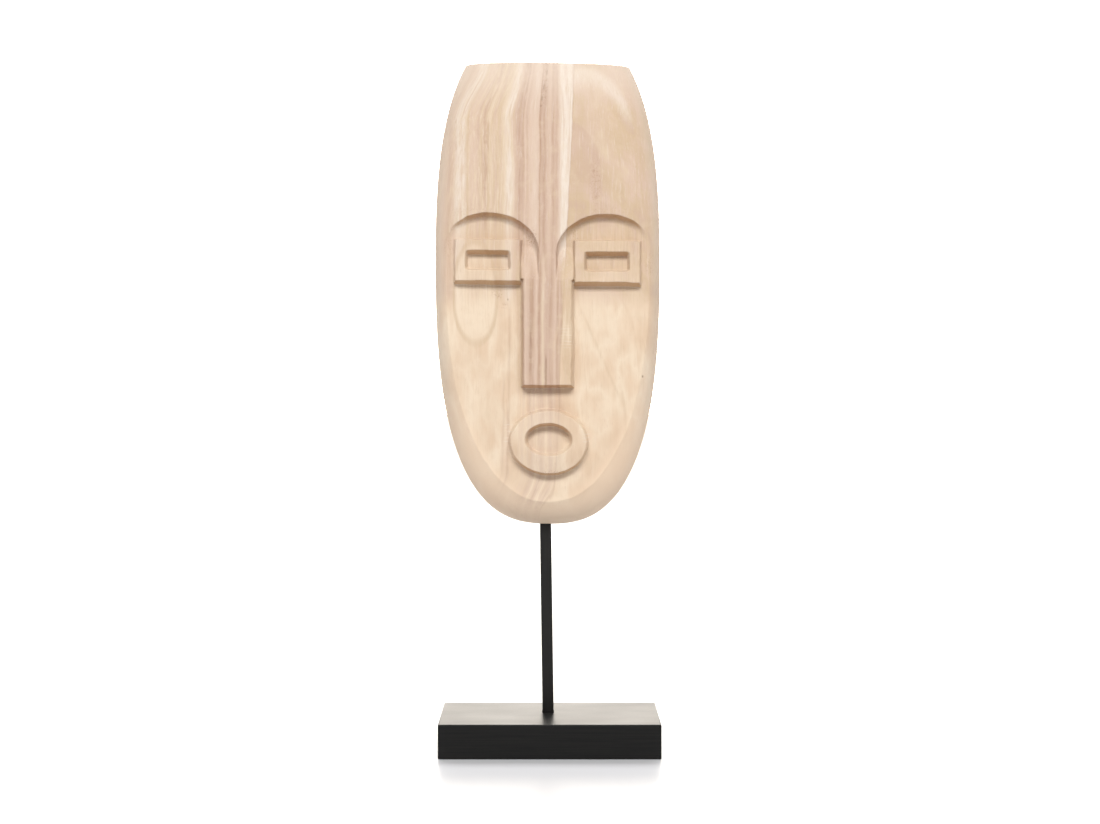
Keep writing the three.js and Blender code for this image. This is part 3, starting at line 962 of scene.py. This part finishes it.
def make_world():
    """A soft studio, dim in front and above, with bright sides and a brighter backdrop."""
    g = Graph(bpy.data.worlds.new("studio"))
    bpy.context.scene.world = g.owner
    parts = g.node("SeparateXYZ", {0: g.node("TexCoord").outputs["Generated"]})
    total = FRONT
    for axis, start, full, strength, colour in (BACKDROP, SIDES):
        reach = parts.outputs[axis]
        if axis == "X":
            reach = g.math("ABSOLUTE", reach)
        values = {"Value": reach, "From Min": start, "From Max": full, "To Max": strength}
        share = g.node("MapRange", values, interpolation_type="SMOOTHSTEP").outputs[0]
        glow = g.node("VectorMath", {0: colour, "Scale": share}, operation="SCALE").outputs[0]
        total = g.node("VectorMath", {0: total, 1: glow}, operation="ADD").outputs[0]
    g.feed(g.tree.nodes["Background"].inputs["Color"], total)


def make_light(name, place, target, size, power, colour):
    data = bpy.data.lights.new(name, "AREA")
    data.shape = "RECTANGLE"
    data.size, data.size_y = size
    data.energy = power
    data.color = colour
    light = linked(name, data)
    light.location = place
    light.rotation_euler = (Vector(target) - Vector(place)).to_track_quat("-Z", "Y").to_euler()


def make_camera():
    data = bpy.data.cameras.new("camera")
    data.sensor_width = SENSOR_WIDTH
    data.lens = FOCAL_PIXELS / FRAME_WIDTH * SENSOR_WIDTH
    camera = linked("camera", data)
    camera.location = CAMERA_PLACE
    camera.rotation_euler = (math.pi / 2 + CAMERA_PITCH, 0, 0)
    bpy.context.scene.camera = camera


def rod_place(x, y, height):
    """World coordinates, in metres, of a point beside the rod's middle line, by its height above the foot."""
    foot_x, foot_y, foot_z = ROD_FOOT
    c = math.cos(math.atan(ROD_LEAN))
    s = math.sin(math.atan(ROD_LEAN))
    return Vector((foot_x + x * c - height * s, foot_y + y, foot_z + x * s + height * c)) * MM


def make_rod(material):
    """The square bar, in rows up its length, with rounded corners and closed ends."""
    half = ROD_SIDE / 2 - ROD_EDGE
    section = rounded_box(0, 0, half, half, half, ROD_EDGE, CORNER_STEPS)
    count = len(section)
    rows = np.linspace(-ROD_IN_BASE, MASK_CHIN_Z - BASE_SIZE[2] + ROD_IN_MASK, ROD_ROWS)
    points = [rod_place(x, y, height) for height in rows for x, y in section]
    faces = [tuple(reversed(range(count))), tuple(range(len(points) - count, len(points)))]
    for low in range(0, len(points) - count, count):
        for i in range(count):
            j = (i + 1) % count
            faces.append((low + i, low + j, low + count + j, low + count + i))
    return finished("square_rod", points, faces, material, "rod")


def finished(name, points, faces, material, node):
    """A piece with this mesh and finish that stands for the CAD node."""
    mesh = bpy.data.meshes.new(name)
    mesh.from_pydata(points, [], faces)
    mesh.materials.append(material)
    mesh.shade_smooth()
    piece = linked(name, mesh)
    mesh.set_sharp_from_angle(angle=SMOOTH_ANGLE)
    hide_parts(node)
    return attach(piece, "root")


def make_base(material):
    """The block, with rounded edges and the square hole that the rod stands in."""
    bm = bmesh.new()
    bmesh.ops.create_cube(bm, size=1)
    for vert in bm.verts:
        vert.co.z += 0.5
        vert.co *= Vector(BASE_SIZE) * MM
    edge = BASE_EDGE * MM
    bmesh.ops.bevel(bm, geom=bm.edges[:], offset=edge, segments=CORNER_STEPS, profile=0.5, affect="EDGES")
    half = ROD_SIDE / 2 + FIT_GAP
    middle = rod_place(0, 0, 0)
    for axis in (0, 1):
        for side in (-1, 1):
            point = middle.copy()
            point[axis] += side * half * MM
            normal = Vector((0, 0, 0))
            normal[axis] = 1
            geometry = bm.verts[:] + bm.edges[:] + bm.faces[:]
            bmesh.ops.bisect_plane(bm, geom=geometry, plane_co=point, plane_no=normal)
    top = [face for face in bm.faces if face.normal.z > FLAT_ENOUGH]
    top = [face for face in top if (face.calc_center_median() - middle).length < half * MM]
    floor = bmesh.ops.extrude_face_region(bm, geom=top)
    bmesh.ops.delete(bm, geom=top, context="FACES_ONLY")
    for vert in [v for v in floor["geom"] if isinstance(v, bmesh.types.BMVert)]:
        depth = ROD_IN_BASE + FIT_GAP
        vert.co += Vector((depth * ROD_LEAN, 0, -depth)) * MM
    mesh = bpy.data.meshes.new("black_base")
    bm.normal_update()
    bm.to_mesh(mesh)
    bm.free()
    mesh.materials.append(material)
    mesh.shade_smooth()
    mesh.set_sharp_from_angle(angle=SMOOTH_ANGLE)
    for face in mesh.polygons:
        face.use_smooth = max(abs(part) for part in face.normal) < FLAT_ENOUGH
    base = linked("black_base", mesh)
    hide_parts("base")
    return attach(base, "root")


def lacquer():
    """Satin black lacquer with faint clouds and fine dust."""
    g = new_graph("base_lacquer")
    x, y, z = g.place()
    clouds = g.noise(g.vector(g.product(x, 1 / 60), g.product(y, 1 / 25), z), 3)
    dust = g.noise(g.vector(x, y, z), 2, 0.6, 1.2)
    tone = g.colour(g.span(clouds, 0.35, 0.65), *LACQUER_TONES)
    tone = g.tint(tone, LACQUER_DUST, g.span(dust, 0.7, 0.8))
    g.bump(dust, LACQUER_BUMP)
    rough = g.spread(clouds, *LACQUER_ROUGHNESS)
    return g.finish(Base_Color=tone, Roughness=rough, Specular_IOR_Level=LACQUER_SHINE)


def rod_paint():
    """Satin black paint on steel, a little uneven."""
    g = new_graph("rod_paint")
    x, y, z = g.place()
    clouds = g.noise(g.vector(g.product(x, 1 / 6), g.product(y, 1 / 6), g.product(z, 1 / 30)), 3)
    tone = g.colour(clouds, *PAINT_TONES)
    g.bump(g.noise(g.vector(x, y, z), 2, 0.6, 1.5), PAINT_BUMP)
    rough = g.spread(clouds, *PAINT_ROUGHNESS)
    return g.finish(Base_Color=tone, Roughness=rough, Specular_IOR_Level=PAINT_SHINE)


def quadratic(x, z):
    """The factors a, b and c of x = a + b rise + c rise^2, by the rise above the middle of three points."""
    c, b, a = np.polyfit(np.array(z) - z[1], x, 2)
    return float(a), float(b), float(c)


def streak_share(g, x, z, line, half, share, breakup):
    """How much of a streak's pigment shows at each point."""
    top, middle, end = line[1::2]
    a, b, c = quadratic(line[0::2], line[1::2])
    rise = g.math("SUBTRACT", z, middle)
    curve = g.math("MULTIPLY_ADD", g.math("MULTIPLY_ADD", rise, c, b), rise, a)
    away = g.math("ABSOLUTE", g.math("SUBTRACT", x, curve))
    near = g.span(away, half * STREAK_BLUR, 0)
    fade = (top - end) * STREAK_FADE / 2
    below = g.span(z, top + fade, top - fade)
    above = g.span(z, end - fade, end + fade)
    return g.product(near, below, above, breakup, share)


def oval_reach(g, x, z, middle_x, middle_z, half_width, half_height):
    """1 on the oval, less inside it and more outside."""
    across = g.math("MULTIPLY_ADD", x, 1 / half_width, -middle_x / half_width)
    along = g.math("MULTIPLY_ADD", z, 1 / half_height, -middle_z / half_height)
    return g.math("SQRT", g.math("MULTIPLY_ADD", across, across, g.product(along, along)))


def stretched(g, place, across, along, detail=3.0, roughness=0.55, shift=0.0):
    """Noise whose grains are so many millimetres across and along the wood."""
    x, y, z = place
    x = g.math("MULTIPLY_ADD", x, 1 / across, shift)
    return g.noise(g.vector(x, g.product(y, 1 / across), g.product(z, 1 / along)), detail, roughness)


def stepped(g, value, stops):
    """The pigments as the value rises from 0 to 1, from the place of each one."""
    node = g.node("ValToRGB", {"Fac": value})
    elements = node.color_ramp.elements
    for i, (place, pigment) in enumerate(stops):
        element = elements[i] if i < 2 else elements.new(place)
        element.position = place
        element.color = (*pigment, 1)
    return node.outputs[0]


def ramp(g, value, *pigments):
    """The pigments in turn as the value rises through the middle of its range."""
    places = np.linspace(RAMP_START, RAMP_END, len(pigments)).tolist()
    return stepped(g, value, zip(places, pigments))


def tones_across(g, x, tones):
    """The pigments across a board, from their list of places."""
    places = tones[0::2]
    first = places[0]
    width = places[-1] - first
    value = g.math("MULTIPLY_ADD", x, 1 / width, -first / width)
    return stepped(g, value, zip([(place - first) / width for place in places], tones[1::2]))


def board(g, place, heart, depth, tilt, period):
    """The growth rings that one board shows, from 0 to 1: the distance from its heart line, banded."""
    x, y, z = place
    across = g.math("SUBTRACT", x, heart)
    inward = g.math("SUBTRACT", y, depth)
    reach = g.math("SQRT", g.math("MULTIPLY_ADD", across, across, g.product(inward, inward)))
    reach = g.math("MULTIPLY_ADD", z, tilt, reach)
    return g.noise(g.vector(g.product(reach, 1 / period), heart, g.product(z, 1 / 300)), 4, 0.62)


def joint_line(g, x, z, joint):
    """How far right of a glued joint each point lies."""
    slope = (joint[0] - joint[1]) / (JOINT_TOP - JOINT_LOW)
    return g.math("SUBTRACT", x, g.math("MULTIPLY_ADD", z, slope, joint[1] - slope * JOINT_LOW))


def mixed(g, *pairs):
    """The sum of the values, each by its weight."""
    total = 0.0
    for value, weight in pairs:
        total = g.math("MULTIPLY_ADD", value, weight, total)
    return total


def board_tones(g, place, high, breakup):
    """The ground colour of the three glued boards, with their growth rings."""
    x, y, z = place
    wide = stretched(g, place, 11, 190, 2, 0.5, 7)
    narrow = stretched(g, place, 2.6, 80, 3, 0.6, 5)
    cloud = stretched(g, place, 30, 55, 3, 0.55, 2)
    left = mixed(g, (wide, 0.5), (narrow, 0.5))
    right = mixed(g, (board(g, place, 24, 45, 0.42, 13), 0.45), (cloud, 0.4), (narrow, 0.15))
    low = mixed(g, (cloud, 0.78), (wide, 0.17), (narrow, 0.05))
    # The low tones are paler partly as painted light on the lower face
    low_tone = ramp(g, low, LOW_HONEY, LOW_PEACH, LOW_CREAM, LOW_PEACH)
    left_tone = ramp(g, left, HONEY, ROSE, CREAM, ROSE, CREAM)
    left_tone = g.tint(left_tone, tones_across(g, x, LEFT_TONES), breakup, 0.75)
    left_tone = g.colour(high, low_tone, left_tone)
    right_tone = ovals(g, x, z, ramp(g, right, CLAY, HONEY, ROSE, CREAM), RIGHT_FIGURE)
    right_tone = g.colour(high, low_tone, right_tone)
    middle_tone = tones_across(g, x, NOSE_TONES)
    middle_tone = g.tint(middle_tone, tones_across(g, x, MIDDLE_TONES), g.span(z, *NOSE_TO_BROW))
    mouth_tone = g.tint(low_tone, tones_across(g, x, MOUTH_TONES), breakup, 0.9)
    middle_tone = g.colour(g.span(z, *MOUTH_TO_NOSE), mouth_tone, middle_tone)
    middle_tone = g.tint(middle_tone, ROSE, g.span(narrow, 0.4, 0.65), 0.5)
    tone = g.colour(g.span(joint_line(g, x, z, LEFT_JOINT), -2, 2), left_tone, middle_tone)
    from_right = joint_line(g, x, z, RIGHT_JOINT)
    tone = g.colour(g.span(from_right, -0.5, 0.5), tone, right_tone)
    glue = g.span(g.math("ABSOLUTE", from_right), 1.0, 0.1)
    return g.tint(tone, BROWN, glue, 0.35)


def ovals(g, x, z, tone, figure):
    """The tone with each oval's pigment, strongest just inside its outline."""
    for *oval, depth, softness, lowest, share, pigment in figure:
        reach = oval_reach(g, x, z, *oval)
        inside = g.span(reach, 1 + softness, 1 - softness)
        outer = g.span(reach, 1 - depth * 1.5, 1 - depth / 2)
        tone = g.tint(tone, pigment, inside, outer, g.span(z, lowest - 10, lowest + 20), share)
    return tone


def tick_share(g, x, z, left, right, low, high, spacing):
    """Short marks across the grain in a patch with soft edges."""
    soft = (right - left) / 3
    patch = [g.span(x, left, left + soft), g.span(x, right, right - soft)]
    patch += [g.span(z, low, low + soft), g.span(z, high, high - soft)]
    uneven = g.noise(g.vector(g.product(x, 1 / 8), 0, g.product(z, 1 / 3)), 2)
    wave = g.math("SINE", g.math("MULTIPLY_ADD", z, 2 * math.pi / spacing, g.product(uneven, 6)))
    return g.product(*patch, g.span(uneven, 0.35, 0.6), g.span(wave, 0.2, 0.95))


def figured(g, place, tone, breakup):
    """The tone with the cheeks' figure, streaks, knots, torn specks, tool marks whose pale tone is painted
    highlight, and painted shade along the sockets' outer edge.
    """
    x, y, z = place
    tone = ovals(g, x, z, tone, CHEEK_FIGURE)
    for *line, half, share, pigment in STREAKS:
        tone = g.tint(tone, pigment, streak_share(g, x, z, line, half, share, breakup))
    for *oval, share, pigment in KNOTS:
        tone = g.tint(tone, pigment, g.span(oval_reach(g, x, z, *oval), 1.2, 0.3), share)
    specks = g.span(g.noise(g.vector(x, y, z), 2, 0.6, 0.8), 0.52, 0.62)
    for *oval, share in TORN:
        tone = g.tint(tone, BROWN, g.span(oval_reach(g, x, z, *oval), 1.1, 0.4), specks, share)
    for *patch, share in TICKS:
        # The tool marks' pale tone is painted highlight on their ridges
        tone = g.tint(tone, IVORY, tick_share(g, x, z, *patch), share)
    return tone


def wood():
    """Pale wood glued up from boards: ring bands, streaks, knots and fibres, with painted shade on the carved
    walls that face down and painted light on the rim, the forehead's top and the lower face.
    """
    g = new_graph("mask_wood")
    x, y, z = g.place()
    drift = stretched(g, (x, y, z), 45, 70)
    wobble = stretched(g, (x, y, z), 6, 26, 3, 0.6, 3)
    ripple = stretched(g, (x, y, z), 1.6, 9, 2, 0.6, 9)
    lean = g.product(g.span(z, *LEAN_HEIGHTS), g.span(x, *LEAN_SPREAD))
    chin = g.product(g.span(z, *CHIN_HEIGHTS), g.span(x, *CHIN_SPREAD))
    shift = mixed(g, (drift, WAVE), (wobble, WOBBLE), (ripple, RIPPLE), (lean, -LEAN_OVER), (chin, CHIN_LEAN))
    x_straight = x
    x = g.math("SUBTRACT", g.math("ADD", x, shift), (WAVE + WOBBLE + RIPPLE) / 2)
    place = (x, y, z)

    breakup = g.span(stretched(g, place, 2.2, 40, 3, 0.65, 11), 0.25, 0.62)
    high = g.span(z, *LOW_TO_HIGH)
    tone = figured(g, place, board_tones(g, place, high, breakup), breakup)
    strength = g.spread(high, 0.5, 1)
    fibres = stretched(g, place, 1.1, 26, 3, 0.65)
    pores = stretched(g, place, 0.45, 6, 2, 0.5)
    clouds = g.noise(g.vector(x, y, z), 3, 0.6, 0.11)
    tone = g.tint(tone, HONEY, g.span(fibres, 0.48, 0.7), strength, 0.4)
    tone = g.tint(tone, IVORY, g.span(fibres, 0.44, 0.3), strength, 0.3)
    tone = g.tint(tone, BROWN, g.span(pores, 0.6, 0.75), 0.2)
    tone = g.tint(tone, CREAM, g.span(clouds, 0.5, 0.7), 0.25)
    # Painted light: the forehead's top paler, where it tilts up to the key light
    tone = g.tint(tone, IVORY, g.span(z, *FOREHEAD_PAINTED_LIGHT_HEIGHTS), 0.4)

    facing = g.node("SeparateXYZ", {0: g.node("NewGeometry").outputs["Normal"]})
    edge = g.span(oval_reach(g, x_straight, z, MASK_X, OUTLINE_MIDDLE, HALF_WIDTH, WIDEST), *RIM_SHARES)
    # Painted light: the rim turns pale grey where its surface faces sideways
    tone = g.tint(tone, RIM_SIDE_PAINTED_LIGHT, g.span(g.math("ABSOLUTE", facing.outputs["X"]), 0.5, 1), edge, 0.4)
    # Painted light: the rim paler towards the chin, where the lamps reach it little
    tone = g.tint(tone, LOWER_RIM_PAINTED_LIGHT, edge, g.span(z, *PAINTED_RIM_LIGHT_HEIGHTS), 0.75)
    # Painted shade on the carved walls that face down, away from the rim
    wall = g.product(g.span(facing.outputs["Z"], -0.4, -0.85), g.math("SUBTRACT", 1, edge))
    tone = g.colour(wall, tone, UNDERSIDE_PAINTED_SHADE, "MULTIPLY")

    g.bump(mixed(g, (fibres, 0.6), (pores, 0.4)), WOOD_BUMP)
    rough = g.spread(fibres, *WOOD_ROUGHNESS)
    return g.finish(Base_Color=tone, Roughness=rough, Specular_IOR_Level=WOOD_SHINE)


make_camera()
make_floor()
make_world()
for light in LIGHTS:
    make_light(*light)
mask = make_mask()
mask.data.materials.append(wood())
make_rod(rod_paint())
make_base(lacquer())
bpy.context.scene.view_settings.view_transform = "Standard"
